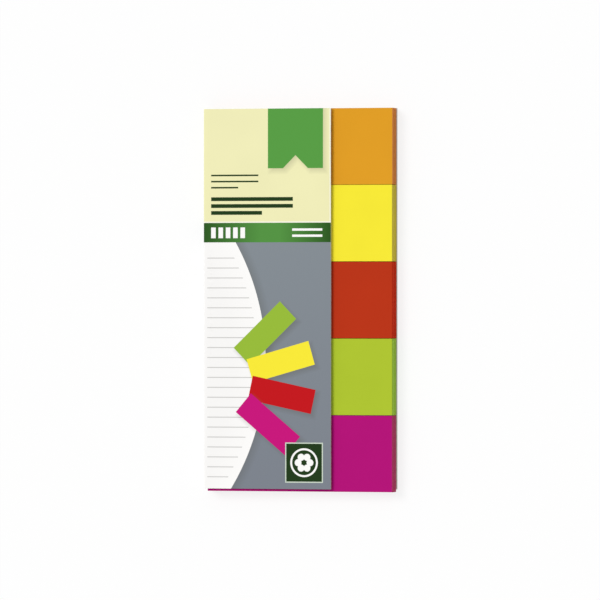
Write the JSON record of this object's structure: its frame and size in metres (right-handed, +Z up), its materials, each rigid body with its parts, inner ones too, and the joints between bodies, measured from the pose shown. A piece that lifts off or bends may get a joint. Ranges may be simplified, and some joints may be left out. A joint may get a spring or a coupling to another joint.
{
  "type": "pack of sticky index tabs",
  "caption": "Pack of sticky index tabs: neon paper strip pads in a row on a folded card cover, whose front leaf opens over the bound ends.",
  "frame": {"origin": "on the flat underside of the back leaf, below the middle of the pack", "axes": "+X along the strips towards their free ends, +Y along the row of pads towards the orange pad, +Z up out of the strips' faces"},
  "size_m": [0.0512, 0.1, 0.0054],
  "materials": {
    "cover_card": "smooth printed card, satin",
    "paper_orange": "matt neon orange paper",
    "paper_yellow": "matt neon yellow paper",
    "paper_red": "matt neon red paper",
    "paper_green": "matt neon green paper",
    "paper_magenta": "matt neon magenta paper"
  },
  "bodies": {
    "pack": {"cover_back": "cover_card", "pad_orange": "paper_orange", "pad_yellow": "paper_yellow", "pad_red": "paper_red", "pad_green": "paper_green", "pad_magenta": "paper_magenta"},
    "cover": {"cover_front": "cover_card"}
  },
  "joints": [
    {"name": "cover_hinge", "type": "hinge", "parent": "pack", "child": "cover", "pos_m": [-0.0254, 0, 0.0049], "axis": [0, -1, 0], "range_deg": [0, 180]}
  ]
}
